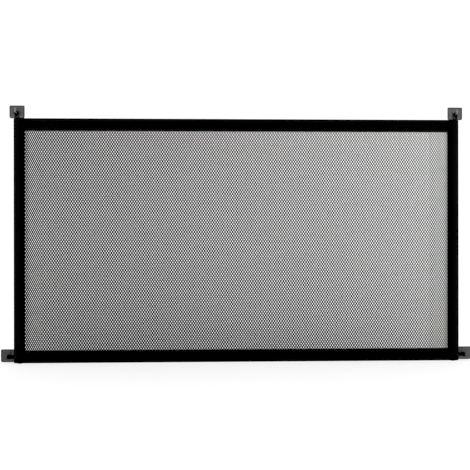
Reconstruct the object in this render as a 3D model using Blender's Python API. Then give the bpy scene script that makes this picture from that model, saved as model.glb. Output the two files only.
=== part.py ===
"""Mesh fireplace screen, hung in front of a hearth on four stick-on hooks.

A net is bound all round by a black fabric hem. Each side hem is a sleeve that holds a
two-piece pole, and an elastic loop at each corner reaches a hook on the wall. Metres,
+Z up, the front faces -Y. The origin is the middle of the bottom edge, in the plane of
the net.
"""

from math import acos, atan2, cos, hypot, pi, sin

import bmesh
import bpy
from mathutils import Vector

GAP = 0.0003  # air left between touching pieces

# The bound net.
WIDTH = 1.100
HEIGHT = 0.600
SIDE_HEM = 0.026
END_HEM = 0.030
HEM_HALF = 0.0016  # half the thickness of a flat hem
HEM_CHAMFER = 0.0006
NET_HALF = 0.0005
SLOT_HALF = NET_HALF + GAP
END_TUCK = 0.010  # how far the net runs into the top and bottom hems
SIDE_TUCK = 0.0035
SLOT_CLEAR = 0.001  # the slot is this much deeper than the net runs in

# The sleeve in each side hem, and the pole in it.
POLE_INSET = 0.016  # from the outer edge of the hem to the pole's axis
POLE_R = 0.004
POLE_BORE_R = 0.0028
CHANNEL_R = 0.0047
SLEEVE_R = 0.0058
SEAM_INSET = 0.0045  # the outer row of stitches
EDGE_HALF = 0.0011
CHANNEL_FLOOR = 0.006
POLE_TOP = 0.5943
PLUG_HEAD = 0.002
PLUG_STEM = 0.010
JOINER_COLLAR = 0.0015
JOINER_REACH = 0.030  # how far the joiner goes into each tube
STEM_R = 0.00245
ROUND_SIDES = 24

# The stick-on hooks. The wall is WALL_Y behind the net's plane.
WALL_Y = 0.010
PAD_THICK = 0.001
PAD_WIDTH = 0.0335
PAD_HEIGHT = 0.0285
PLATE_WIDTH = 0.0365
PLATE_HEIGHT = 0.0315
PLATE_THICK = 0.0025
RIM_RISE = 0.0005
TOP_CORNER_R = 0.0025
BOTTOM_CORNER_R = 0.0045
PRONG_R = 0.0016
PRONG_DROP = 0.0028  # the prong's root is this far under the plate's middle
PRONG_TIP = 0.0075  # and its tip this far above it
PRONG_BEND_R = 0.0040
POCKET = 0.0105  # between the plate and the prong
TOP_HOOK_INSET = 0.0055  # from the side edge in to the top hooks
TOP_HOOK_RISE = 0.017  # from the top edge up to the plate's middle
LOW_HOOK_OUTSET = 0.016  # from the side edge out to the bottom hooks
LOW_HOOK_RISE = 0.017

# The elastic loops.
CORD_R = 0.0016
LOOP_R = PRONG_R + GAP + CORD_R
LOOP_EXIT_HALF = 0.0022  # half the distance between the two strands at the hem
LOOP_WAIST_HALF = 0.00195
LOOP_STAND_OFF = 0.0040  # from the front of the plate to the middle of the cord

CHARCOAL_NET = ("net_yarn", (0.030, 0.030, 0.032), 0.70)
BLACK_BINDING = ("black_binding", (0.006, 0.006, 0.007), 0.85)
BLACK_ELASTIC = ("black_elastic", (0.008, 0.008, 0.009), 0.75)
POLE_PLASTIC = ("pole_plastic", (0.020, 0.020, 0.022), 0.45)
PLUG_RUBBER = ("plug_rubber", (0.015, 0.015, 0.015), 0.80)
SMOKE_PLASTIC = ("smoke_plastic", (0.090, 0.092, 0.095), 0.28)
FOAM_PAD = ("foam_pad", (0.600, 0.600, 0.590), 0.90)


def clear_scene():
    """Remove whatever the file opened with."""
    for obj in list(bpy.data.objects):
        bpy.data.objects.remove(obj, do_unlink=True)


def finish_of(finish):
    """The Principled material of a finish: its name, colour and roughness."""
    name, colour, roughness = finish
    material = bpy.data.materials.get(name)
    if material is None:
        material = bpy.data.materials.new(name)
        material.use_nodes = True
        shader = material.node_tree.nodes["Principled BSDF"]
        shader.inputs["Base Color"].default_value = (*colour, 1.0)
        shader.inputs["Roughness"].default_value = roughness
        shader.inputs["Metallic"].default_value = 0.0
    return material


def make_object(name, bm, finish, origin=(0.0, 0.0, 0.0)):
    """Turn a bmesh drawn about the world's origin into an object standing at origin."""
    bmesh.ops.recalc_face_normals(bm, faces=bm.faces)
    mesh = bpy.data.meshes.new(name)
    bm.to_mesh(mesh)
    bm.free()
    mesh.materials.append(finish_of(finish))
    obj = bpy.data.objects.new(name, mesh)
    obj.location = origin
    bpy.context.collection.objects.link(obj)
    return obj


def skin_rings(bm, rings, closed=False):
    """Join equal rings of points with quads. Open stacks get an end face each."""
    rows = [[bm.verts.new(point) for point in ring] for ring in rings]
    pairs = list(zip(rows, rows[1:]))
    if closed:
        pairs.append((rows[-1], rows[0]))
    for low, high in pairs:
        for i in range(len(low)):
            j = (i + 1) % len(low)
            bm.faces.new((low[i], low[j], high[j], high[i]))
    if not closed:
        bm.faces.new(rows[0])
        bm.faces.new(rows[-1])


def box(name, low, high, finish):
    """A plain block between two corners."""
    bm = bmesh.new()
    corners = [(low[0], low[1]), (high[0], low[1]), (high[0], high[1]), (low[0], high[1])]
    skin_rings(bm, [[(x, y, z) for x, y in corners] for z in (low[2], high[2])])
    return make_object(name, bm, finish)


def turned(name, rings, finish, origin, closed=False):
    """A round piece about +Z from (radius, height) rings, as a stack or a closed tube."""
    bm = bmesh.new()
    turns = [2 * pi * i / ROUND_SIDES for i in range(ROUND_SIDES)]
    skin_rings(bm, [[(r * cos(a), r * sin(a), z) for a in turns] for r, z in rings], closed)
    return make_object(name, bm, finish, origin)


def modify(obj, operation, operand):
    """Cut or join another object with an exact Boolean, and hide that object."""
    boolean = obj.modifiers.new(operation.lower(), "BOOLEAN")
    boolean.operation = operation
    boolean.solver = "EXACT"
    boolean.object = operand
    operand.hide_render = True
    operand.display_type = "WIRE"


def sleeve_outline():
    """Half of the side hem's cross-section, as (distance in from the edge, half depth).

    Two straight runs of fabric leave the seams and lie tangent to the round sleeve.
    """
    centre = Vector((POLE_INSET, 0.0))
    points = [(0.0, EDGE_HALF - HEM_CHAMFER), (HEM_CHAMFER, EDGE_HALF)]
    points.append((SEAM_INSET, EDGE_HALF))
    inner_seam = Vector((SIDE_HEM - SIDE_TUCK, HEM_HALF))
    ends = []
    for seam, side in ((Vector((SEAM_INSET, EDGE_HALF)), -1), (inner_seam, 1)):
        arm = seam - centre
        angle = atan2(arm.y, arm.x)
        ends.append(angle + side * acos(SLEEVE_R / hypot(arm.x, arm.y)))
    steps = 8
    for i in range(steps + 1):
        a = ends[0] + (ends[1] - ends[0]) * i / steps
        points.append((centre.x + SLEEVE_R * cos(a), SLEEVE_R * sin(a)))
    points.append(tuple(inner_seam))
    points.append((SIDE_HEM, HEM_HALF))
    return points


def side_hem(name, side):
    """A full-height sleeve, open at the top, with a slot for the edge of the net."""
    half = sleeve_outline()
    outline = half + [(x, -y) for x, y in reversed(half)]
    edge = side * WIDTH / 2
    bm = bmesh.new()
    skin_rings(bm, [[(edge - side * x, y, z) for x, y in outline] for z in (0.0, HEIGHT)])
    hem = make_object(name, bm, BLACK_BINDING)
    channel = turned(
        f"{name}_channel_cutter",
        [(CHANNEL_R, CHANNEL_FLOOR), (CHANNEL_R, HEIGHT + 0.005)],
        BLACK_BINDING,
        (edge - side * POLE_INSET, 0.0, 0.0),
    )
    inner = edge - side * SIDE_HEM
    deep = inner + side * (SIDE_TUCK + SLOT_CLEAR / 2)
    past = inner - side * 0.002
    low_z = END_HEM - END_TUCK - SLOT_CLEAR
    slot = box(
        f"{name}_slot_cutter",
        (min(deep, past), -SLOT_HALF, low_z),
        (max(deep, past), SLOT_HALF, HEIGHT - low_z),
        BLACK_BINDING,
    )
    modify(hem, "DIFFERENCE", channel)
    modify(hem, "DIFFERENCE", slot)


def end_hem(name, outer_z, up):
    """The top or bottom hem: a folded strip whose slot opens towards the net."""
    t, s, c = HEM_HALF, SLOT_HALF, HEM_CHAMFER
    floor = END_HEM - END_TUCK - SLOT_CLEAR
    half = [(t - c, 0.0), (t, c), (t, END_HEM), (s, END_HEM), (s, floor)]
    outline = half + [(-y, z) for y, z in reversed(half)]
    reach = WIDTH / 2 - SIDE_HEM - GAP
    bm = bmesh.new()
    skin_rings(bm, [[(x, y, outer_z + up * z) for y, z in outline] for x in (-reach, reach)])
    make_object(name, bm, BLACK_BINDING)


def net():
    """The net as one thin sheet, tucked into all four hems."""
    across = WIDTH / 2 - SIDE_HEM + SIDE_TUCK
    low_z = END_HEM - END_TUCK
    box(
        "mesh_panel",
        (-across, -NET_HALF, low_z),
        (across, NET_HALF, HEIGHT - low_z),
        CHARCOAL_NET,
    )


def pole(side_name, side):
    """Two tubes on a joiner, with a plug in each outer end, stood in one sleeve."""
    foot = (side * (WIDTH / 2 - POLE_INSET), 0.0, 0.0)
    bottom = CHANNEL_FLOOR + GAP
    low = bottom + PLUG_HEAD + GAP
    high = POLE_TOP - PLUG_HEAD - GAP
    middle = (low + high) / 2
    collar = JOINER_COLLAR / 2
    for part, start, end in (
        ("lower_tube", low, middle - collar - GAP),
        ("upper_tube", middle + collar + GAP, high),
    ):
        wall = [(POLE_R, start), (POLE_R, end), (POLE_BORE_R, end), (POLE_BORE_R, start)]
        turned(f"{side_name}_pole_{part}", wall, POLE_PLASTIC, foot, closed=True)
    joiner = [
        (STEM_R, middle - JOINER_REACH),
        (STEM_R, middle - collar),
        (POLE_R, middle - collar),
        (POLE_R, middle + collar),
        (STEM_R, middle + collar),
        (STEM_R, middle + JOINER_REACH),
    ]
    turned(f"{side_name}_pole_joiner", joiner, POLE_PLASTIC, foot)
    for part, face, inward in (("bottom_plug", bottom, 1), ("top_plug", POLE_TOP, -1)):
        plug = [
            (POLE_R - HEM_CHAMFER, face),
            (POLE_R, face + inward * HEM_CHAMFER),
            (POLE_R, face + inward * PLUG_HEAD),
            (STEM_R, face + inward * PLUG_HEAD),
            (STEM_R, face + inward * (PLUG_HEAD + PLUG_STEM)),
        ]
        turned(f"{side_name}_pole_{part}", plug, PLUG_RUBBER, foot)


def rounded_outline(width, height, top_r, bottom_r, inset=0.0):
    """A rectangle about its middle with round corners, drawn inset from its outline."""
    w, h = width / 2 - inset, height / 2 - inset
    points = []
    for quarter, (sx, sz, r) in enumerate(
        ((1, 1, top_r), (-1, 1, top_r), (-1, -1, bottom_r), (1, -1, bottom_r))
    ):
        r = max(r - inset, 0.0004)
        for i in range(5):
            a = (quarter + i / 4) * pi / 2
            points.append((sx * (w - r) + r * cos(a), sz * (h - r) + r * sin(a)))
    return points


def plate(name, centre):
    """The moulded plate: a sloped edge, a raised rim and a sunk middle."""
    back = WALL_Y - PAD_THICK - GAP
    front = back - PLATE_THICK
    steps = [
        (0.0, back),
        (0.0, front + 0.0011),
        (0.0010, front - RIM_RISE),
        (0.0026, front - RIM_RISE),
        (0.0034, front),
    ]
    bm = bmesh.new()
    rings = []
    for inset, y in steps:
        flat = rounded_outline(
            PLATE_WIDTH, PLATE_HEIGHT, TOP_CORNER_R, BOTTOM_CORNER_R, inset
        )
        rings.append([(centre[0] + x, y, centre[1] + z) for x, z in flat])
    skin_rings(bm, rings)
    return make_object(name, bm, SMOKE_PLASTIC)


def prong_path():
    """The prong's centreline as (y, height over the plate's middle), root to tip."""
    root_y = WALL_Y - PAD_THICK - GAP - PLATE_THICK / 2
    upright_y = WALL_Y - PAD_THICK - GAP - PLATE_THICK - POCKET - PRONG_R
    path = [(root_y, -PRONG_DROP)]
    steps = 6
    for i in range(steps + 1):
        a = i / steps * pi / 2
        y = upright_y + PRONG_BEND_R * (1 - sin(a))
        path.append((y, -PRONG_DROP + PRONG_BEND_R * (1 - cos(a))))
    path.append((upright_y, PRONG_TIP - PRONG_R))
    return path


def prong(name, centre):
    """The round upturned prong, with a domed tip."""
    sides = 12
    path = prong_path()
    rings = []
    for i, (y, z) in enumerate(path):
        before, after = path[max(i - 1, 0)], path[min(i + 1, len(path) - 1)]
        run = Vector((after[0] - before[0], after[1] - before[1])).normalized()
        rings.append((y, z, -run.y, run.x, PRONG_R))
    tip_y, tip_z = path[-1]
    for i in range(1, 4):
        a = i / 4 * pi / 2
        rings.append((tip_y, tip_z + PRONG_R * sin(a), -1.0, 0.0, PRONG_R * cos(a)))
    bm = bmesh.new()
    loops = []
    for y, z, ny, nz, r in rings:
        loop = []
        for k in range(sides):
            a = 2 * pi * k / sides
            swing = r * sin(a)
            loop.append((centre[0] + r * cos(a), y + ny * swing, centre[1] + z + nz * swing))
        loops.append(loop)
    skin_rings(bm, loops)
    return make_object(name, bm, SMOKE_PLASTIC)


def hook(corner, centre):
    """A plate with its prong, on a foam adhesive pad."""
    body = plate(f"hook_{corner}", centre)
    modify(body, "UNION", prong(f"hook_{corner}_prong_guide", centre))
    outline = rounded_outline(PAD_WIDTH, PAD_HEIGHT, 0.0015, 0.0030)
    bm = bmesh.new()
    rings = []
    for y in (WALL_Y, WALL_Y - PAD_THICK):
        rings.append([(centre[0] + x, y, centre[1] + z) for x, z in outline])
    skin_rings(bm, rings)
    make_object(f"pad_{corner}", bm, FOAM_PAD)


def loop_route(reach):
    """Half a loop's route as (half width, distance from the hem, depth to the wall).

    reach is the distance from the hem to the prong's root.
    """
    pocket = WALL_Y - PAD_THICK - GAP - PLATE_THICK - LOOP_STAND_OFF
    half = [
        (LOOP_EXIT_HALF, GAP, 0.0),
        (LOOP_EXIT_HALF, 0.0020, 0.0001),
        (LOOP_WAIST_HALF, 0.0045, 0.0007),
        (LOOP_WAIST_HALF, 0.0065, pocket * 0.45),
        (0.0024, 0.0090, pocket * 0.80),
        (0.0030, reach - 0.0032, pocket),
    ]
    steps = 8
    for i in range(steps + 1):
        a = i / steps * pi / 2
        half.append((LOOP_R * cos(a), reach + LOOP_R * sin(a), pocket))
    return half


def loop(corner, start, along, across, reach):
    """An elastic loop from the hem, round the prong's root, and back to the hem."""
    half = loop_route(reach)
    route = [(-w, d, y) for w, d, y in half] + [(w, d, y) for w, d, y in reversed(half[:-1])]
    start, along, across = Vector(start), Vector(along), Vector(across)
    curve = bpy.data.curves.new(f"loop_{corner}", "CURVE")
    curve.dimensions = "3D"
    curve.bevel_depth = CORD_R
    curve.bevel_resolution = 2
    curve.use_fill_caps = True
    spline = curve.splines.new("POLY")
    spline.points.add(len(route) - 1)
    for point, (w, d, y) in zip(spline.points, route):
        place = start + across * w + along * d + Vector((0.0, y, 0.0))
        point.co = (*place, 1.0)
    curve.materials.append(finish_of(BLACK_ELASTIC))
    obj = bpy.data.objects.new(f"loop_{corner}", curve)
    bpy.context.collection.objects.link(obj)


def corners():
    """The four hooks and their loops."""
    for side_name, side in (("left", -1), ("right", 1)):
        edge = side * WIDTH / 2
        top_x = edge - side * TOP_HOOK_INSET
        hook(f"top_{side_name}", (top_x, HEIGHT + TOP_HOOK_RISE))
        loop(
            f"top_{side_name}",
            (top_x, 0.0, HEIGHT),
            (0.0, 0.0, 1.0),
            (1.0, 0.0, 0.0),
            TOP_HOOK_RISE - PRONG_DROP,
        )
        hook(f"bottom_{side_name}", (edge + side * LOW_HOOK_OUTSET, LOW_HOOK_RISE))
        loop(
            f"bottom_{side_name}",
            (edge, 0.0, LOW_HOOK_RISE - PRONG_DROP),
            (side, 0.0, 0.0),
            (0.0, 0.0, 1.0),
            LOW_HOOK_OUTSET,
        )


def shade_round_pieces():
    """Smooth the turned and swept pieces and keep their hard edges."""
    for obj in bpy.data.objects:
        if obj.type == "MESH":
            obj.data.shade_smooth()
            obj.data.set_sharp_from_angle(angle=0.7)


clear_scene()
net()
end_hem("bottom_hem", 0.0, 1)
end_hem("top_hem", HEIGHT, -1)
for hem_name, hem_side in (("left", -1), ("right", 1)):
    side_hem(f"{hem_name}_hem", hem_side)
    pole(hem_name, hem_side)
corners()
shade_round_pieces()
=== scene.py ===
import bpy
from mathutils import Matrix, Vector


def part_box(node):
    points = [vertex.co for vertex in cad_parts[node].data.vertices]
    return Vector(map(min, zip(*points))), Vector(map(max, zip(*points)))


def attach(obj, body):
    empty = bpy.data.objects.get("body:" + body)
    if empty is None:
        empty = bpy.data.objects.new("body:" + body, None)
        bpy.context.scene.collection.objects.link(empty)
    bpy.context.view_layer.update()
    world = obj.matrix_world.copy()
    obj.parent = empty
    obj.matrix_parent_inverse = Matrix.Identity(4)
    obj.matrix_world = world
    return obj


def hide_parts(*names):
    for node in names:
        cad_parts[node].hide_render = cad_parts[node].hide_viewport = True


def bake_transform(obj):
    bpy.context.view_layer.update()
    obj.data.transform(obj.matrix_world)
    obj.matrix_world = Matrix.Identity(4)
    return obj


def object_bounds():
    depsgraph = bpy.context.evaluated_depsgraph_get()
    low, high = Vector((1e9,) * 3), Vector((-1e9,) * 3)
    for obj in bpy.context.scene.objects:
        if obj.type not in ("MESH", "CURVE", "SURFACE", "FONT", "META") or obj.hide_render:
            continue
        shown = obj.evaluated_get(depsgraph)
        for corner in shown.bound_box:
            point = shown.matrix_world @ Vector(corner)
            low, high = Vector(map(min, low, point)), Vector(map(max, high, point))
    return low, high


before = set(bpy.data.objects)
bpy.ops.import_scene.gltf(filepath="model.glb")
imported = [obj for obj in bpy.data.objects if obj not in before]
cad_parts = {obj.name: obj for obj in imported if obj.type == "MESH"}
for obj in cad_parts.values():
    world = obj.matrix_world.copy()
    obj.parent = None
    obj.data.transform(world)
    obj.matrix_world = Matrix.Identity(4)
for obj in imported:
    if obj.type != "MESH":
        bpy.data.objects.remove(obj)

from math import acos, atan2, cos, hypot, pi, sin, sqrt, tan

import bmesh
import bpy
from mathutils import Vector

CAD_LOW, CAD_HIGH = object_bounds()

PANEL = "screen_panel"
WALL = "wall_hooks"

# ---------------------------------------------------------------- measures from the frame
LEFT_LOW, LEFT_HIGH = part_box("left_hem")
NET_LOW, NET_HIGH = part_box("mesh_panel")
POLE_LOW, POLE_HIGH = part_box("left_pole_lower_tube")

EDGE_X = -LEFT_LOW.x  # half the screen's width
HEIGHT = LEFT_HIGH.z
SIDE_HEM = LEFT_HIGH.x - LEFT_LOW.x
END_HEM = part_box("bottom_hem")[1].z
SLEEVE_R = LEFT_HIGH.y
POLE_INSET = (POLE_LOW.x + POLE_HIGH.x) / 2 - LEFT_LOW.x

MM = 0.001

# The hems and their seams; halves are half thicknesses.
EDGE_HALF = 1.1 * MM
SEAM_INSET = 4.5 * MM
SIDE_TUCK = 3.5 * MM
SIDE_SEAM = SIDE_HEM - SIDE_TUCK  # the inner seam, measured in from the outer edge
END_SEAM = 26.5 * MM
SIDE_SHOWN = SIDE_HEM + 1.0 * MM  # the side hem's loose inner lip reaches a little over the net
END_SHOWN = END_HEM + 0.6 * MM
SIDE_HALF = 1.6 * MM
END_HALF = 1.35 * MM
CHANNEL_R = 4.7 * MM
CHANNEL_FLOOR = 6.0 * MM

# ---------------------------------------------------------------- hand work


def fresh():
    """Leave edit mode and let go of everything."""
    if bpy.context.object and bpy.context.object.mode != "OBJECT":
        bpy.ops.object.mode_set(mode="OBJECT")
    bpy.ops.object.select_all(action="DESELECT")


def hold(piece):
    """Make this the only piece in hand."""
    fresh()
    piece.select_set(True)
    bpy.context.view_layer.objects.active = piece


def named(name):
    """Name the piece just added."""
    piece = bpy.context.object
    piece.name = name
    piece.data.name = name
    return piece


def pick(kind, test):
    """Select the verts, edges or faces of the piece being edited that pass the test."""
    bpy.ops.mesh.select_mode(type=kind)
    bpy.ops.mesh.select_all(action="DESELECT")
    mesh = bmesh.from_edit_mesh(bpy.context.object.data)
    for part in {"VERT": mesh.verts, "EDGE": mesh.edges, "FACE": mesh.faces}[kind]:
        part.select = bool(test(part))
    mesh.select_flush_mode()
    bmesh.update_edit_mesh(bpy.context.object.data)


def middle(part):
    """The middle of an edge or a face."""
    return sum((v.co for v in part.verts), Vector()) / len(part.verts)


def block(name, low, high):
    """A block between two corners, in edit mode."""
    fresh()
    bpy.ops.mesh.primitive_cube_add(size=1.0, location=(Vector(low) + Vector(high)) / 2)
    piece = named(name)
    piece.scale = Vector(high) - Vector(low)
    settle(piece)
    bpy.ops.object.mode_set(mode="EDIT")
    return piece


def settle(piece):
    """Put the piece's place, turn and size into its mesh."""
    hold(piece)
    bpy.ops.object.transform_apply(location=True, rotation=True, scale=True)


def cut_across(axis, places):
    """Score the piece being edited all round at each place along an axis."""
    normal = [0.0, 0.0, 0.0]
    normal["xyz".index(axis)] = 1.0
    for place in places:
        bpy.ops.mesh.select_all(action="SELECT")
        bpy.ops.mesh.bisect(plane_co=[n * place for n in normal], plane_no=normal)


def finish_with(piece, kind, **settings):
    """Add a modifier with these settings and apply it."""
    hold(piece)
    modifier = piece.modifiers.new(kind.lower(), kind)
    for key, value in settings.items():
        setattr(modifier, key, value)
    bpy.ops.object.modifier_apply(modifier=modifier.name)


def repeat(piece, count, step, merge=0.0):
    """Lay the piece out in a row, as one mesh; ends closer than the merge distance are joined."""
    finish_with(
        piece,
        "ARRAY",
        count=count,
        use_relative_offset=False,
        use_constant_offset=True,
        constant_offset_displace=step,
        use_merge_vertices=merge > 0,
        merge_threshold=max(merge, 1e-6),
    )


def copy_of(piece, name, shift):
    """Another of the same piece with its own mesh, moved over."""
    hold(piece)
    bpy.ops.object.duplicate()
    other = named(name)
    other.location = shift
    settle(other)
    return other


def outward(piece):
    """Merge doubles and face everything out."""
    hold(piece)
    bpy.ops.object.mode_set(mode="EDIT")
    bpy.ops.mesh.select_all(action="SELECT")
    bpy.ops.mesh.remove_doubles(threshold=1e-6)
    bpy.ops.mesh.normals_make_consistent(inside=False)
    bpy.ops.object.mode_set(mode="OBJECT")


def joined(pieces, name):
    """Join pieces into the first, under a new name."""
    hold(pieces[0])
    for piece in pieces[1:]:
        piece.select_set(True)
    bpy.ops.object.join()
    return named(name)


def smooth(piece, degrees):
    """Shade the piece smooth, apart from edges sharper than this angle."""
    hold(piece)
    bpy.ops.object.shade_smooth_by_angle(angle=degrees * pi / 180)


def hand_over(piece, body, finish, slot, *nodes):
    """Give the piece its finish, its body and the CAD nodes it stands for."""
    piece.data.materials.clear()
    piece.data.materials.append(finish)
    if body:
        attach(piece, body)
    if nodes:
        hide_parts(*nodes)


# ---------------------------------------------------------------- finishes


WAVE_PERIOD = 2 * pi / 20  # the wave texture's own period at a scale of one


class Finish:
    """A Principled material and short ways to wire its nodes."""

    def __init__(self, name, roughness=0.5, specular=0.5, **sockets):
        self.material = bpy.data.materials.new(name)
        self.material.use_nodes = True
        self.tree = self.material.node_tree
        self.shader = self.tree.nodes["Principled BSDF"]
        self.shader.inputs["Roughness"].default_value = roughness
        self.shader.inputs["Specular IOR Level"].default_value = specular
        for key, value in sockets.items():
            self.shader.inputs[key.replace("_", " ")].default_value = value

    def node(self, kind, **settings):
        node = self.tree.nodes.new(kind)
        for key, value in settings.items():
            if hasattr(node, key):
                setattr(node, key, value)
            else:
                node.inputs[key.replace("_", " ")].default_value = value
        return node

    def join(self, out, into):
        self.tree.links.new(out, into)

    def coords(self, kind="Object"):
        return self.node("ShaderNodeTexCoord").outputs[kind]

    def noise(self, where, scale, detail=3.0, roughness=0.5):
        node = self.node("ShaderNodeTexNoise", Scale=scale, Detail=detail)
        node.inputs["Roughness"].default_value = roughness
        self.join(where, node.inputs["Vector"])
        return node.outputs["Fac"]

    def wave(self, where, period, direction="X", warp=0.0):
        node = self.node(
            "ShaderNodeTexWave",
            bands_direction=direction,
            Scale=WAVE_PERIOD / period,
            Distortion=warp,
        )
        self.join(where, node.inputs["Vector"])
        return node.outputs["Fac"]

    def math(self, operation, a, b=0.0):
        node = self.node("ShaderNodeMath", operation=operation)
        for value, socket in ((a, node.inputs[0]), (b, node.inputs[1])):
            if isinstance(value, (int, float)):
                socket.default_value = value
            else:
                self.join(value, socket)
        return node.outputs[0]

    def ramp(self, factor, *stops):
        node = self.node("ShaderNodeValToRGB")
        elements = node.color_ramp.elements
        while len(elements) < len(stops):
            elements.new(0.5)
        for element, (place, colour) in zip(elements, stops):
            element.position = place
            element.color = (*colour, 1.0)
        self.join(factor, node.inputs["Fac"])
        return node.outputs["Color"]

    def colour(self, factor, *stops):
        self.join(self.ramp(factor, *stops), self.shader.inputs["Base Color"])

    def rough(self, factor, low, high):
        node = self.node("ShaderNodeMapRange")
        node.inputs["To Min"].default_value = low
        node.inputs["To Max"].default_value = high
        self.join(factor, node.inputs["Value"])
        self.join(node.outputs["Result"], self.shader.inputs["Roughness"])

    def bump(self, height, distance, strength=1.0):
        node = self.node("ShaderNodeBump", Distance=distance, Strength=strength)
        self.join(height, node.inputs["Height"])
        self.join(node.outputs["Normal"], self.shader.inputs["Normal"])


def grey(level, warmth=0.0):
    """A grey of this brightness, a little redder where there is warmth."""
    return (level * (1 + warmth), level, level * (1 - warmth))


def net_yarn():
    """Charcoal knitted yarn: fine slanting fibres, paler where it has rubbed."""
    f = Finish("charcoal_net_yarn", 0.8, 0.12)
    where = f.coords()
    fibres = f.wave(where, 0.45 * MM, "DIAGONAL", 1.5)
    twist = f.wave(where, 0.8 * MM, "Z", 2.0)
    wear = f.noise(where, 30.0, 4.0, 0.6)
    mix = f.math("ADD", f.math("MULTIPLY", fibres, 0.5), f.math("MULTIPLY", wear, 0.5))
    f.colour(mix, (0.15, grey(0.006)), (0.85, grey(0.020)))
    f.rough(wear, 0.70, 0.90)
    f.bump(f.math("ADD", fibres, twist), 0.06 * MM, 0.8)
    return f.material


def woven_binding():
    """Black plain-weave binding tape with a fine ribbed hand."""
    f = Finish("black_woven_binding", 0.9, 0.12)
    where = f.coords()
    warp = f.wave(where, 0.75 * MM, "X", 0.4)
    weft = f.wave(where, 0.75 * MM, "Z", 0.4)
    twill = f.wave(where, 1.6 * MM, "DIAGONAL", 0.3)
    cloth = f.math("MULTIPLY", warp, weft)
    folds = f.noise(where, 14.0, 3.0, 0.55)
    height = f.math("ADD", cloth, f.math("MULTIPLY", twill, 0.35))
    tone = f.math("ADD", f.math("MULTIPLY", height, 0.45), f.math("MULTIPLY", folds, 0.4))
    f.colour(tone, (0.1, grey(0.0035)), (0.9, grey(0.012)))
    f.rough(folds, 0.82, 0.96)
    f.bump(f.math("ADD", height, f.math("MULTIPLY", folds, 1.5)), 0.12 * MM, 0.9)
    return f.material


def stitch_thread():
    """Twisted polyester thread with a faint gloss."""
    f = Finish("black_stitch_thread", 0.5, 0.35)
    where = f.coords()
    twist = f.wave(where, 0.35 * MM, "DIAGONAL", 0.2)
    f.colour(twist, (0.0, grey(0.006)), (1.0, grey(0.022)))
    f.rough(f.noise(where, 60.0), 0.4, 0.6)
    f.bump(twist, 0.05 * MM, 0.8)
    return f.material


def braided_elastic():
    """Black braided elastic: the plait follows the cord's own length."""
    f = Finish("black_braided_elastic", 0.8, 0.10)
    where = f.coords("UV")
    plait = f.wave(where, 0.25, "DIAGONAL", 0.0)
    fuzz = f.noise(f.coords(), 900.0, 2.0)
    tone = f.math("ADD", f.math("MULTIPLY", plait, 0.6), f.math("MULTIPLY", fuzz, 0.4))
    f.colour(tone, (0.1, grey(0.002)), (0.9, grey(0.010)))
    f.rough(fuzz, 0.7, 0.9)
    f.bump(tone, 0.08 * MM, 0.7)
    return f.material


def smoky_plastic(name, depth):
    """Smoky see-through plastic with painted light: painted shade on the outer rim, a painted highlight in
    the band inside it, and a painted highlight that makes the prong palest; depth scales every colour.
    """
    f = Finish(name, 0.25, 0.5, Coat_Weight=0.3, Coat_Roughness=0.15)
    tone = f.node("ShaderNodeAttribute", attribute_name="edge_distance").outputs["Fac"]
    where = f.coords()
    cloud = f.noise(where, 90.0, 4.0, 0.6)
    painted_light_and_cloud = f.math("ADD", tone, f.math("MULTIPLY", f.math("SUBTRACT", cloud, 0.5), 0.10))
    # edge_distance ramp: painted shade at the rim, a painted highlight band just inside it, the plain
    # middle, and a painted highlight on the prong at 1; the cloud noise is random tone. A depth below 1 lays
    # painted shade over the whole ramp.
    f.colour(
        painted_light_and_cloud,
        (0.00, grey(0.012 * depth)),
        (0.17, grey(0.020 * depth)),
        (0.28, grey(0.075 * depth)),
        (0.42, grey(0.040 * depth)),
        (0.88, grey(0.034 * depth)),
        (0.96, grey(0.180 * depth)),
    )
    scuffs = f.noise(where, 240.0, 5.0, 0.7)
    f.rough(scuffs, 0.16, 0.40)
    f.bump(scuffs, 0.03 * MM, 0.5)
    return f.material


def foam_tape():
    """White adhesive foam with open cells."""
    f = Finish("white_foam_tape", 0.9, 0.2)
    where = f.coords()
    cells = f.node("ShaderNodeTexVoronoi", Scale=1400.0)
    f.join(where, cells.inputs["Vector"])
    soil = f.noise(where, 60.0)
    f.colour(
        f.math("ADD", f.math("MULTIPLY", cells.outputs["Distance"], 0.5), soil),
        (0.3, grey(0.45, 0.02)),
        (1.0, grey(0.70, 0.02)),
    )
    f.rough(soil, 0.85, 0.95)
    f.bump(cells.outputs["Distance"], 0.15 * MM, 0.8)
    return f.material


def moulded(name, low, high, roughness, grain, sheen=0.0):
    """A dark moulded or drawn plastic or rubber with its own grain and handling marks."""
    f = Finish(name, roughness, 0.45, Sheen_Weight=sheen)
    where = f.coords()
    marks = f.noise(where, 45.0, 4.0, 0.6)
    fine = f.noise(where, grain, 3.0, 0.6)
    f.colour(marks, (0.25, grey(low)), (0.75, grey(high)))
    f.rough(f.math("MULTIPLY", f.math("ADD", marks, fine), 0.5), roughness - 0.1, roughness + 0.15)
    f.bump(fine, 0.04 * MM, 0.5)
    return f.material


def pale_floor():
    """A plain white studio sweep."""
    f = Finish("studio_white", 0.9, 0.0, Emission_Color=(1, 1, 1, 1), Emission_Strength=0.55)
    shade = f.noise(f.coords(), 1.5, 1.0)
    f.colour(shade, (0.3, grey(0.49)), (0.7, grey(0.51)))
    return f.material


NET_YARN = net_yarn()
BINDING = woven_binding()
THREAD = stitch_thread()
ELASTIC = braided_elastic()
SMOKE = smoky_plastic("smoky_clear_plastic", 1.0)
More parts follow.
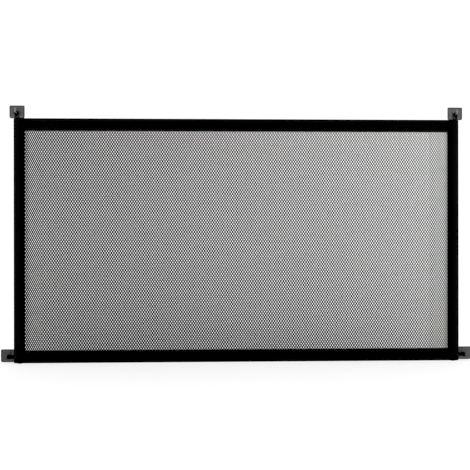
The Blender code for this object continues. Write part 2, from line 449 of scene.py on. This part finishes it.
# the same smoky plastic at 0.45 of its brightness: a copy with painted shade, for the bottom-left hook
PAINTED_SHADE_SMOKE = smoky_plastic("painted_shade_smoky_plastic", 0.45)
FOAM = foam_tape()
POLE = moulded("black_fibre_pole", 0.010, 0.028, 0.38, 900.0)
JOINER = moulded("grey_joiner_nylon", 0.045, 0.075, 0.50, 600.0)
PLUG = moulded("black_plug_rubber", 0.008, 0.020, 0.75, 1200.0, 0.2)

# ---------------------------------------------------------------- camera, light and stage

SENSOR = 36.0
LENS = 40.27
CAMERA_PLACE = (-0.0401, -1.30, 0.3134)
CAMERA_ROLL = 0.00121
CAMERA_TURN = -0.0244
camera_data = bpy.data.cameras.new("studio_camera")
camera_data.sensor_width = SENSOR
camera_data.lens = LENS
camera = bpy.data.objects.new("studio_camera", camera_data)
bpy.context.scene.collection.objects.link(camera)
camera.location = CAMERA_PLACE
camera.rotation_euler = (pi / 2, CAMERA_ROLL, CAMERA_TURN)
bpy.context.scene.camera = camera


def soft_light(name, place, aim, size, power):
    """A big square soft box aimed at a point."""
    data = bpy.data.lights.new(name, "AREA")
    data.size = size
    data.energy = power
    light = bpy.data.objects.new(name, data)
    bpy.context.scene.collection.objects.link(light)
    light.location = place
    light.rotation_euler = (Vector(aim) - Vector(place)).to_track_quat("-Z", "Y").to_euler()


soft_light("key_light", (-1.4, -2.2, 2.4), (0, 0, 0.3), 1.8, 14.0)
soft_light("fill_light", (1.8, -1.8, 1.6), (0, 0, 0.3), 1.6, 8.0)

WORLD_STRENGTH = 0.99
DARKEST = 0.013  # levels below this show as black
world = bpy.data.worlds.new("studio_world")
world.use_nodes = True
world.node_tree.nodes["Background"].inputs["Color"].default_value = (1, 1, 1, 1)
world.node_tree.nodes["Background"].inputs["Strength"].default_value = WORLD_STRENGTH
bpy.context.scene.world = world
view = bpy.context.scene.view_settings
view.view_transform = "Standard"
view.use_curve_mapping = True
view.curve_mapping.black_level = (DARKEST, DARKEST, DARKEST)
view.curve_mapping.update()

FLOOR_HALF = 4.0
SWEEP_START = 1.6
SWEEP_RUN = 1.2
SWEEP_RISE = 3.0
fresh()
bpy.ops.mesh.primitive_plane_add(size=2 * FLOOR_HALF, location=(0, SWEEP_START - FLOOR_HALF, CAD_LOW.z))
sweep = named("studio_sweep")
settle(sweep)
bpy.ops.object.mode_set(mode="EDIT")
pick("EDGE", lambda e: middle(e).y > SWEEP_START - 0.01)
bpy.ops.mesh.extrude_region_move(TRANSFORM_OT_translate={"value": (0, SWEEP_RUN, 0)})
bpy.ops.mesh.extrude_region_move(TRANSFORM_OT_translate={"value": (0, 0, SWEEP_RISE)})
pick("EDGE", lambda e: abs(middle(e).y - SWEEP_START - SWEEP_RUN) < 0.01 and middle(e).z < 0.01)
bpy.ops.mesh.bevel(offset=1.0, segments=12)
bpy.ops.object.mode_set(mode="OBJECT")
smooth(sweep, 60)
sweep.data.materials.append(pale_floor())

# ---------------------------------------------------------------- elastic loops

CORD_R = 1.6 * MM
GAP = 0.3 * MM
LOOP_R = 3.5 * MM
EXIT_HALF = 2.2 * MM
WAIST_HALF = 1.95 * MM
POCKET_MIDDLE = 2.2 * MM
SEWN_IN = 3.0 * MM  # how far each end runs into the hem
PRESSED_HALF = 0.9 * MM  # the pressed ends' half thickness
PRESS_RUN = 2.0 * MM  # over this length an end goes from pressed to round
CORD_SIDES = 16
PLAIT_TURN = 2400  # how fast the plait turns along the cord, in radians a metre
LOOP_TURN_STEPS = 8
CURVE_STEPS = 5


def loop_route(reach):
    """Half a loop's route as (half width, distance from the hem, depth to the wall)."""
    half = [
        (EXIT_HALF, -SEWN_IN, 0.0),
        (EXIT_HALF, GAP, 0.0),
        (EXIT_HALF, 2.0 * MM, 0.1 * MM),
        (WAIST_HALF, 4.5 * MM, 0.7 * MM),
        (WAIST_HALF, 6.5 * MM, POCKET_MIDDLE * 0.45),
        (2.4 * MM, 9.0 * MM, POCKET_MIDDLE * 0.80),
        (3.0 * MM, reach - 3.2 * MM, POCKET_MIDDLE),
    ]
    for i in range(LOOP_TURN_STEPS + 1):
        a = i / LOOP_TURN_STEPS * pi / 2
        half.append((LOOP_R * cos(a), reach + LOOP_R * sin(a), POCKET_MIDDLE))
    return half


def curved_through(points, steps):
    """The points joined by a smooth curve, with this many steps between two of them."""
    line = []
    for i in range(len(points) - 1):
        a, b = points[max(i - 1, 0)], points[i]
        c, d = points[i + 1], points[min(i + 2, len(points) - 1)]
        for k in range(steps):
            t = k / steps
            bend = (2 * a - 5 * b + 4 * c - d) * t**2
            twist = (3 * b - a - 3 * c + d) * t**3
            line.append(0.5 * (2 * b + (c - a) * t + bend + twist))
    return line + [points[-1]]


def line_length(line):
    """The length of a line of points."""
    return sum((b - a).length for a, b in zip(line, line[1:]))


def plaited_cord(name, line):
    """A round plaited cord along a line; both ends are pressed flat where they are sewn in."""
    mesh = bmesh.new()
    uv = mesh.loops.layers.uv.new("UVMap")
    run, rings, runs = 0.0, [], []
    total = line_length(line)
    for i, place in enumerate(line):
        ahead = line[min(i + 1, len(line) - 1)] - line[max(i - 1, 0)]
        ahead.normalize()
        side = ahead.cross(Vector((0, 1, 0))).normalized()
        face = side.cross(ahead)
        if i:
            run += (place - line[i - 1]).length
        from_end = min(run, total - run)
        flat = PRESSED_HALF / CORD_R
        press = min(1.0, flat + (1 - flat) * max(0.0, from_end - SEWN_IN) / PRESS_RUN)
        ring = []
        for k in range(CORD_SIDES):
            a = 2 * pi * k / CORD_SIDES
            plait = abs(sin(2 * a + run * PLAIT_TURN)) * abs(sin(2 * a - run * PLAIT_TURN))
            r = CORD_R * (0.93 + 0.09 * plait)
            ring.append(mesh.verts.new(place + side * r * cos(a) + face * r * sin(a) * press))
        rings.append(ring)
        runs.append(run / (2 * pi * CORD_R))
    for (low, v0), (high, v1) in zip(zip(rings, runs), zip(rings[1:], runs[1:])):
        for k in range(CORD_SIDES):
            j = (k + 1) % CORD_SIDES
            quad = mesh.faces.new((low[k], low[j], high[j], high[k]))
            quad.smooth = True
            u0, u1 = k / CORD_SIDES, (k + 1) / CORD_SIDES
            for loop, place in zip(quad.loops, ((u0, v0), (u1, v0), (u1, v1), (u0, v1))):
                loop[uv].uv = place
    mesh.faces.new(rings[0])
    mesh.faces.new(rings[-1])
    bmesh.ops.recalc_face_normals(mesh, faces=mesh.faces)
    data = bpy.data.meshes.new(name)
    mesh.to_mesh(data)
    mesh.free()
    cord = bpy.data.objects.new(name, data)
    bpy.context.scene.collection.objects.link(cord)
    return cord


def elastic_loop(corner, start, along, across, reach):
    """A loop from the hem, round the hook's prong and back; the right-hand loops go on the panel's body, the
    left-hand ones on no body.
    """
    start, along, across = Vector(start), Vector(along), Vector(across)
    half = loop_route(reach)
    route = [(-w, d, y) for w, d, y in half] + [(w, d, y) for w, d, y in reversed(half[:-1])]
    points = [start + across * w + along * d + Vector((0, y, 0)) for w, d, y in route]
    line = curved_through(points, CURVE_STEPS)
    cord = plaited_cord(f"elastic_loop_{corner}", line)
    if corner.endswith("left"):
        hand_over(cord, None, ELASTIC, "elastic", f"loop_{corner}")
        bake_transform(cord)
    else:
        hand_over(cord, PANEL, ELASTIC, "elastic", f"loop_{corner}")


TOP_LOOP_X = 544.5 * MM
LOW_LOOP_Z = 14.2 * MM
TOP_REACH = 14.2 * MM
LOW_REACH = 16.0 * MM
for side_name, side in (("left", -1), ("right", 1)):
    top_start, low_start = (side * TOP_LOOP_X, 0, HEIGHT), (side * EDGE_X, 0, LOW_LOOP_Z)
    elastic_loop(f"top_{side_name}", top_start, (0, 0, 1), (1, 0, 0), TOP_REACH)
    elastic_loop(f"bottom_{side_name}", low_start, (side, 0, 0), (0, 0, 1), LOW_REACH)

# ---------------------------------------------------------------- the net

ROW = 9.4 * MM  # two rows of knots
STRIP_PITCH = 4.96 * MM
PITCH = 6.28 * MM
RIGHT_PITCH = 5.6 * MM
LEFT_STRIP = 9  # columns in the close-set strip by each side hem
RIGHT_STRIP = 8
YARN_THICK = 0.55 * MM
JOIN = 0.05 * MM  # neighbouring strands closer than this become one
KNOT_RISE = 0.25 * MM
KNOT_WIDE = 0.300  # half a knot's width as a share of the pitch, before the net is stretched
KNOT_TALL = 0.278
EIGHTH = pi / 8
YARN_SHARE = 2 * (1 - tan(EIGHTH))  # what the net covers is this times the two shares together
OPEN_MIDDLE = 0.318  # how open the net is in the middle, and how that changes sideways and upwards
OPEN_SIDEWAYS, OPEN_SIDEWAYS_BEND = 0.103, 0.058
OPEN_UPWARDS, OPEN_UPWARDS_BEND = 0.050, -0.030
OPEN_CORNERWAYS = 0.025
SEAM_GATHER = 0.25  # how much less open the net is where it is sewn into a side hem
SEAM_REACH = 14 * MM
STRIP_GATHER = 0.04  # how much less open the whole right strip is
LEAST_OPEN = 0.18  # closer than this and the knots would touch


def mesh_knot(centre, half_width, half_height):
    """One flat knot of the net, a fan of eight faces."""
    bpy.ops.mesh.primitive_circle_add(
        vertices=8, radius=1 / cos(EIGHTH), fill_type="TRIFAN", location=centre, rotation=(pi / 2, EIGHTH, 0)
    )
    knot = bpy.context.object
    settle(knot)
    knot.location = -centre
    settle(knot)
    knot.scale = (half_width, 1.0, half_height)
    knot.location = centre
    settle(knot)
    return knot


def openness(place):
    """How much of the net is open at a place: most towards the upper right, least by a side seam."""
    u = place.x / EDGE_X
    v = 2 * place.z / HEIGHT - 1
    drawn = OPEN_MIDDLE + OPEN_SIDEWAYS * u + OPEN_SIDEWAYS_BEND * u * u
    drawn += OPEN_UPWARDS * v + OPEN_UPWARDS_BEND * v * v + OPEN_CORNERWAYS * u * v
    to_hem = EDGE_X - SIDE_SHOWN - abs(place.x)
    gathered = SEAM_GATHER * max(0.0, 1 - max(0.0, to_hem) / SEAM_REACH) ** 2
    if place.x > 0 and to_hem < RIGHT_STRIP * RIGHT_PITCH:
        gathered += STRIP_GATHER
    return max(LEAST_OPEN, drawn - gathered)


def stretch_net(band, start, pitch):
    """Shrink or swell every knot about its own middle until the net is as open as it should be."""
    for vertex in band.data.vertices:
        nearest = None
        for shift in (0.0, 0.5):
            column = round((vertex.co.x - start.x) / pitch - shift) + shift
            row = round((vertex.co.z - start.z) / ROW - shift) + shift
            centre = Vector((start.x + column * pitch, vertex.co.y, start.z + row * ROW))
            away = hypot((vertex.co.x - centre.x) / pitch, (vertex.co.z - centre.z) / ROW)
            if nearest is None or away < nearest[0]:
                nearest = (away, centre)
        centre = nearest[1]
        size = (1 - openness(centre)) / (YARN_SHARE * (KNOT_WIDE + KNOT_TALL))
        vertex.co = centre + (vertex.co - centre) * size


def net_band(name, left, columns, pitch):
    """A band of net: knots in staggered rows, each joined to its four neighbours by yarn."""
    rows = int((NET_HIGH.z - NET_LOW.z) / ROW)
    first_z = NET_LOW.z + (NET_HIGH.z - NET_LOW.z - rows * ROW) / 2 + ROW / 4
    start = Vector((left + pitch / 4, 0.0, first_z))
    half_width, half_height = KNOT_WIDE * pitch, KNOT_TALL * ROW
    fresh()
    knot = mesh_knot(start, half_width, half_height)
    fresh()
    other = mesh_knot(start + Vector((pitch / 2, 0, ROW / 2)), half_width, half_height)
    band = joined([knot, other], name)
    bpy.ops.object.mode_set(mode="EDIT")
    corner = 1 + tan(EIGHTH)  # the knot's slanting edges run from its side to this share of it
    for sx in (-1, 1):
        for sz in (-1, 1):
            run = Vector((sx * (pitch / 2 - corner * half_width), 0, sz * (ROW / 2 - corner * half_height)))

            def faces_strand(edge):
                place = middle(edge) - start
                on_rim = len(edge.link_faces) == 1 and place.length < 1.2 * half_height
                return on_rim and place.x * sx > 0.6 * half_width and place.z * sz > 0.6 * half_height

            pick("EDGE", faces_strand)
            bpy.ops.mesh.extrude_region_move(TRANSFORM_OT_translate={"value": run})
    bpy.ops.object.mode_set(mode="OBJECT")
    outward(band)
    repeat(band, rows, (0, 0, ROW), JOIN)
    repeat(band, columns, (pitch, 0, 0), JOIN)
    hold(band)
    bpy.ops.object.mode_set(mode="EDIT")
    bpy.ops.mesh.select_all(action="SELECT")
    bpy.ops.mesh.remove_doubles(threshold=0.03 * MM)
    bpy.ops.object.mode_set(mode="OBJECT")
    stretch_net(band, start, pitch)
    finish_with(band, "SOLIDIFY", thickness=YARN_THICK, offset=0.0, use_rim=True)
    half = Vector((pitch / 2, ROW / 2))
    for vertex in band.data.vertices:
        across = (vertex.co.x - start.x) / half.x
        up = (vertex.co.z - start.z) / half.y
        if abs(across - round(across)) < 0.02 and abs(up - round(up)) < 0.02:
            vertex.co.y += KNOT_RISE if vertex.co.y > 0 else -KNOT_RISE
    outward(band)
    smooth(band, 50)
    return band


def net_bands():
    """The whole net, in bands that meet between knots; it lies closer by each side hem."""
    width = NET_HIGH.x - NET_LOW.x
    main = round((width - LEFT_STRIP * STRIP_PITCH - RIGHT_STRIP * RIGHT_PITCH) / PITCH)
    quarter = main // 4
    plan = [
        ("net_left_strip", LEFT_STRIP, STRIP_PITCH),
        ("net_left_band", quarter, PITCH),
        ("net_middle_left_band", quarter, PITCH),
        ("net_middle_right_band", quarter, PITCH),
        ("net_right_band", main - 3 * quarter, PITCH),
        ("net_right_strip", RIGHT_STRIP, RIGHT_PITCH),
    ]
    left = NET_LOW.x + (width - sum(n * p for _, n, p in plan)) / 2
    bands = []
    for name, columns, pitch in plan:
        bands.append(net_band(name, left, columns, pitch))
        left += columns * pitch
    return bands


bands = net_bands()
for i, band in enumerate(bands):
    hand_over(band, PANEL, NET_YARN, "net", *(["mesh_panel"] if i == 2 else []))

# ---------------------------------------------------------------- hems


def sleeve_half(inset):
    """Half the side hem's thickness at a distance in from its outer edge."""
    if inset <= SEAM_INSET:
        return EDGE_HALF
    if inset >= SIDE_SEAM:
        return SIDE_HALF
    away = inset - POLE_INSET
    round_part = sqrt(max(SLEEVE_R**2 - away**2, 0.0))
    seam_x, seam_half = (SEAM_INSET, EDGE_HALF) if away < 0 else (SIDE_SEAM, SIDE_HALF)
    reach = abs(seam_x - POLE_INSET)
    angle = atan2(seam_half, reach) + acos(SLEEVE_R / hypot(reach, seam_half))
    touch = SLEEVE_R * cos(angle)
    if abs(away) <= touch:
        return round_part
    top = SLEEVE_R * sin(angle)
    share = (abs(away) - touch) / (reach - touch)
    return top + (seam_half - top) * share


# Where the side and end hems are scored along their length, in millimetres from the outer edge.
SIDE_SCORES = [1.2, 3.6, 4.5, 5.4, 7.5, 9.2, 10.6, 11.6, 12.8]
SIDE_SCORES += [14.2, 16.0, 17.8, 19.2, 20.4, 21.4, 22.5, 23.6, 25.4]
END_SCORES = [1.0, 3.5, 4.5, 5.5, 10.0, 16.0, 22.0, 25.5, 26.5, 27.5, 29.6]
SIDE_STEPS = 40  # scores across the hems
END_STEPS = 60
SIDE_PINCH = 0.90  # the cloth's thickness at a seam, as a share of the thickness beside it
END_PINCH = 0.88


def side_binding(name, side):
    """A side hem as a full-height sleeve with soft corners, open at the top."""
    outer = side * EDGE_X
    inner = outer - side * SIDE_SHOWN
    low_x, high_x = min(outer, inner), max(outer, inner)
    hem = block(name, (low_x, -EDGE_HALF, 0.0), (high_x, EDGE_HALF, HEIGHT))

    def outer_corner(edge):
        place = middle(edge)
        return abs(place.x - outer) < 1e-5 and min(place.z, HEIGHT - place.z) < 1e-5

    pick("EDGE", outer_corner)
    bpy.ops.mesh.bevel(offset=2.8 * MM, segments=4)
    cut_across("x", [outer - side * i * MM for i in SIDE_SCORES])
    cut_across("z", [HEIGHT * i / SIDE_STEPS for i in range(1, SIDE_STEPS)])
    for place in [0.0] + [i * MM for i in SIDE_SCORES] + [SIDE_SHOWN]:
        at = outer - side * place
        pick("VERT", lambda v: abs(v.co.x - at) < 0.02 * MM)
        factor = sleeve_half(place) / EDGE_HALF
        if min(abs(place - SEAM_INSET), abs(place - SIDE_SEAM)) < 1e-6:
            factor *= SIDE_PINCH
        bpy.ops.transform.resize(value=(1, factor, 1), center_override=(at, 0, HEIGHT / 2))
    bpy.ops.object.mode_set(mode="OBJECT")
    finish_with(hem, "BEVEL", width=0.45 * MM, segments=2, limit_method="ANGLE", angle_limit=1.2)
    fresh()
    depth = HEIGHT - CHANNEL_FLOOR + 0.01
    bpy.ops.mesh.primitive_cylinder_add(
        vertices=40,
        radius=CHANNEL_R,
        depth=depth,
        location=(outer - side * POLE_INSET, 0, CHANNEL_FLOOR + depth / 2),
    )
    drill = named("sleeve_drill")
    settle(drill)
    finish_with(hem, "BOOLEAN", operation="DIFFERENCE", solver="EXACT", object=drill)
    bpy.data.objects.remove(drill)
    smooth(hem, 45)
    return hem


def end_binding(name, outer_z, up):
    """The top or bottom hem: a folded strip, let in under both side hems."""
    reach = EDGE_X - SIDE_HEM + 1.5 * MM
    inner_z = outer_z + up * END_SHOWN
    low_z, high_z = min(outer_z, inner_z), max(outer_z, inner_z)
    hem = block(name, (-reach, -END_HALF, low_z), (reach, END_HALF, high_z))
    cut_across("z", [outer_z + up * i * MM for i in END_SCORES])
    cut_across("x", [-reach + 2 * reach * i / END_STEPS for i in range(1, END_STEPS)])
    for inset in (SEAM_INSET, END_SEAM):
        at = outer_z + up * inset
        pick("VERT", lambda v: abs(v.co.z - at) < 0.02 * MM)
        bpy.ops.transform.resize(value=(1, END_PINCH, 1), center_override=(0, 0, at))
    bpy.ops.object.mode_set(mode="OBJECT")
    finish_with(hem, "BEVEL", width=0.5 * MM, segments=2, limit_method="ANGLE", angle_limit=1.2)
    smooth(hem, 45)
    return hem


for side_name, side in (("left", -1), ("right", 1)):
    hem = side_binding(f"{side_name}_binding", side)
    hand_over(hem, PANEL, BINDING, "binding", f"{side_name}_hem")
for end_name, outer_z, up in (("top", HEIGHT, -1), ("bottom", 0.0, 1)):
    hem = end_binding(f"{end_name}_binding", outer_z, up)
    hand_over(hem, PANEL, BINDING, "binding", f"{end_name}_hem")

# ---------------------------------------------------------------- stitching

STITCH_PITCH = 3.4 * MM
STITCH_LONG = 2.7 * MM
STITCH_R = 0.26 * MM
STITCH_SINK = 0.97  # the stitches' middle lies at this share of the hem's half thickness
TACK_SINK = 0.98
TACK_WIDE = 7.0 * MM
TACK_DEEP = 2.6 * MM
TACK_LINES = 5


def stitch_row(name, start, end, y):
    """A row of stitches between two points of the hem's face at depth y."""
    start, end = Vector(start), Vector(end)
    run = end - start
    count = max(2, int(run.length / STITCH_PITCH))
    fresh()
    bpy.ops.mesh.primitive_uv_sphere_add(segments=6, ring_count=4, radius=1.0, location=(0, 0, 0))
    stitch = named(name)
    stitch.scale = (STITCH_R, STITCH_R * 0.8, STITCH_LONG / 2)
    if abs(run.x) > abs(run.z):
        stitch.rotation_euler = (0, pi / 2, 0)
    stitch.location = start + run * (0.5 / count) + Vector((0, y, 0))
    settle(stitch)
    repeat(stitch, count, run / count)
    return stitch


def bar_tack(side, corner_z):
    """The close stitches that hold a loop's two ends in the side hem, front and back."""
    half = TACK_WIDE / 2
    rows = []
    for face in (-1, 1):
        for k in range(TACK_LINES):
            along = (k / (TACK_LINES - 1) - 0.5) * TACK_DEEP
            if corner_z > HEIGHT / 2:
                middle_x, z = side * TOP_LOOP_X, HEIGHT - 2.4 * MM + along
                start, end = (middle_x - half, 0, z), (middle_x + half, 0, z)
                y = face * sleeve_half(EDGE_X - TOP_LOOP_X) * TACK_SINK
            else:
                x = side * (EDGE_X - 2.2 * MM) + along
                start, end = (x, 0, LOW_LOOP_Z - half), (x, 0, LOW_LOOP_Z + half)
                y = face * EDGE_HALF
            rows.append(stitch_row("row", start, end, y))
    return rows


def stitching():
    """All rows of stitches, front and back, one piece to a hem."""
    made = []
    for side_name, side in (("left", -1), ("right", 1)):
        rows = []
        for inset, half, trim in ((SEAM_INSET, EDGE_HALF, SEAM_INSET), (SIDE_SEAM, SIDE_HALF, 1.0 * MM)):
            x = side * (EDGE_X - inset)
            for face in (-1, 1):
                y = face * half * STITCH_SINK
                rows.append(stitch_row("row", (x, 0, trim), (x, 0, HEIGHT - trim), y))
        rows += bar_tack(side, HEIGHT) + bar_tack(side, 0.0)
        made.append(joined(rows, f"{side_name}_stitching"))
    reach = EDGE_X - SIDE_HEM
    for end_name, outer_z, up in (("top", HEIGHT, -1), ("bottom", 0.0, 1)):
        rows = []
        for inset in (SEAM_INSET, END_SEAM):
            z = outer_z + up * inset
            for face in (-1, 1):
                y = face * END_HALF * STITCH_SINK
                rows.append(stitch_row("row", (-reach, 0, z), (reach, 0, z), y))
        made.append(joined(rows, f"{end_name}_stitching"))
    for piece in made:
        smooth(piece, 60)
        hand_over(piece, PANEL, THREAD, "binding")


stitching()

# ---------------------------------------------------------------- stick-on hooks

HOOK_LOW, HOOK_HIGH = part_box("hook_top_left")
PLATE_W = HOOK_HIGH.x - HOOK_LOW.x
PLATE_H = HOOK_HIGH.z - HOOK_LOW.z
PLATE_THICK = 2.5 * MM
PLATE_BACK = HOOK_HIGH.y
PLATE_FRONT = PLATE_BACK - PLATE_THICK
RIM_RISE = 0.5 * MM
PRONG_R = 1.6 * MM
PRONG_DROP = 2.8 * MM  # the root's and the tip's height, from the plate's middle
PRONG_TIP = 7.5 * MM
PRONG_BEND = 4.0 * MM
PRONG_ROOT = 0.4 * MM  # how far the prong starts inside the plate
DOME_STEPS = 4
DOME_SHARE = 0.96  # the dome's tip is cut a little short of its pole
MARK_SPAN = 15 * MM  # the marks run from 0 at the edge to 1 this far inside it
PLATE_MARK_MOST = 0.83
LOW_PRONG_MARK = 0.86  # the lower prongs get no painted highlight, so they look no paler than their plates


def hook_plate(name, centre):
    """The moulded plate with a raised rim, rounded corners and a sunk middle."""
    low = (centre.x - PLATE_W / 2, PLATE_FRONT - RIM_RISE, centre.z - PLATE_H / 2)
    high = (centre.x + PLATE_W / 2, PLATE_BACK, centre.z + PLATE_H / 2)
    plate = block(name, low, high)

    def upright_edge(edge):
        place = middle(edge) - centre
        return abs(abs(place.x) - PLATE_W / 2) < 1e-5 and abs(abs(place.z) - PLATE_H / 2) < 1e-5

    pick("EDGE", lambda e: upright_edge(e) and middle(e).z > centre.z)
    bpy.ops.mesh.bevel(offset=2.5 * MM, segments=6)
    pick("EDGE", lambda e: upright_edge(e) and middle(e).z < centre.z)
    bpy.ops.mesh.bevel(offset=4.5 * MM, segments=8)
    pick("FACE", lambda f: f.normal.y < -0.9 and middle(f).y < PLATE_FRONT)
    width, height = PLATE_W, PLATE_H
    for margin, sink in ((2.4, 0.0), (1.0, 0.5), (2.2, 0.12), (4.0, 0.10)):
        bpy.ops.mesh.extrude_region_move(TRANSFORM_OT_translate={"value": (0, sink * MM, 0)})
        less = 2 * margin * MM
        bpy.ops.transform.resize(
            value=((width - less) / width, 1, (height - less) / height),
            center_override=(centre.x, 0, centre.z),
        )
        width, height = width - less, height - less
    bpy.ops.object.mode_set(mode="OBJECT")
    finish_with(plate, "BEVEL", width=0.7 * MM, segments=3, limit_method="ANGLE", angle_limit=0.9)
    return plate


def hook_prong(name, centre):
    """The round prong: it leaves the plate, bends up and ends in a dome."""
    fresh()
    upright_y = HOOK_LOW.y + PRONG_R
    bpy.ops.mesh.primitive_circle_add(
        vertices=20,
        radius=PRONG_R,
        fill_type="NGON",
        location=(centre.x, PLATE_FRONT + PRONG_ROOT, centre.z - PRONG_DROP),
        rotation=(pi / 2, 0, 0),
    )
    prong = named(name)
    settle(prong)
    bpy.ops.object.mode_set(mode="EDIT")
    bpy.ops.mesh.select_all(action="SELECT")
    bend_start = upright_y + PRONG_BEND
    run = bend_start - (PLATE_FRONT + PRONG_ROOT)
    bpy.ops.mesh.extrude_region_move(TRANSFORM_OT_translate={"value": (0, run, 0)})
    bpy.ops.mesh.spin(
        steps=8,
        angle=pi / 2,
        center=(centre.x, bend_start, centre.z - PRONG_DROP + PRONG_BEND),
        axis=(1, 0, 0),
    )
    rise = PRONG_TIP - PRONG_R - (PRONG_BEND - PRONG_DROP)
    bpy.ops.mesh.extrude_region_move(TRANSFORM_OT_translate={"value": (0, 0, rise)})
    before, height = 1.0, 0.0
    for i in range(1, DOME_STEPS + 1):
        a = i / DOME_STEPS * pi / 2 * DOME_SHARE
        lift = PRONG_R * (sin(a) - height)
        bpy.ops.mesh.extrude_region_move(TRANSFORM_OT_translate={"value": (0, 0, lift)})
        factor = cos(a) / before
        top = centre.z + PRONG_TIP - PRONG_R + PRONG_R * sin(a)
        bpy.ops.transform.resize(value=(factor, factor, 1), center_override=(centre.x, upright_y, top))
        before, height = cos(a), sin(a)
    bpy.ops.object.mode_set(mode="OBJECT")
    outward(prong)
    return prong


def mark_edge_distance(hook, centre):
    """Note on the mesh how far each point lies inside the plate's outline; the prong gets 1. The smoky
    plastic turns this into painted shade at the rim and painted highlights on the band inside it and on the
    prong.
    """
    mark = hook.data.attributes.new("edge_distance", "FLOAT", "POINT")
    for vertex, value in zip(hook.data.vertices, mark.data):
        across = PLATE_W / 2 - abs(vertex.co.x - centre.x)
        up = PLATE_H / 2 - abs(vertex.co.z - centre.z)
        on_prong = vertex.co.y < PLATE_FRONT - 0.6 * MM and min(across, up) > 6 * MM
        on_plate = max(0.0, min(PLATE_MARK_MOST, min(across, up) / MARK_SPAN))
        value.value = 1.0 if on_prong else on_plate


def hooks():
    """One hook modelled at the top left, and copies of it at the other corners."""
    centre = Vector(((HOOK_LOW.x + HOOK_HIGH.x) / 2, 0.0, (HOOK_LOW.z + HOOK_HIGH.z) / 2))
    plate = hook_plate("hook_plate", centre)
    prong = hook_prong("hook_prong", centre)
    finish_with(plate, "BOOLEAN", operation="UNION", solver="EXACT", object=prong)
    bpy.data.objects.remove(prong)
    plate.name = "stick_on_hook_top_left"
    mark_edge_distance(plate, centre)
    smooth(plate, 35)
    hooks_made = [("top_left", plate)]
    for corner in ("top_right", "bottom_left", "bottom_right"):
        other_low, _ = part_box(f"hook_{corner}")
        hook = copy_of(plate, f"stick_on_hook_{corner}", other_low - HOOK_LOW)
        # the lower hooks' prongs lose the prong's painted highlight
        if corner.startswith("bottom"):
            for value in hook.data.attributes["edge_distance"].data:
                value.value = min(value.value, LOW_PRONG_MARK)
        hooks_made.append((corner, hook))
    for corner, hook in hooks_made:
        # the bottom-left hook takes the copy of the plastic with painted shade
        plastic = PAINTED_SHADE_SMOKE if corner == "bottom_left" else SMOKE
        hand_over(hook, WALL, plastic, "hook", f"hook_{corner}")


hooks()

# ---------------------------------------------------------------- carried-over parts

for name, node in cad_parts.items():
    finish = None
    if name.startswith("pad_"):
        finish = FOAM
    elif name.endswith("_tube"):
        finish = POLE
    elif name.endswith("_joiner"):
        finish = JOINER
    elif name.endswith("_plug"):
        finish = PLUG
    if finish:
        node.data.materials.clear()
        node.data.materials.append(finish)
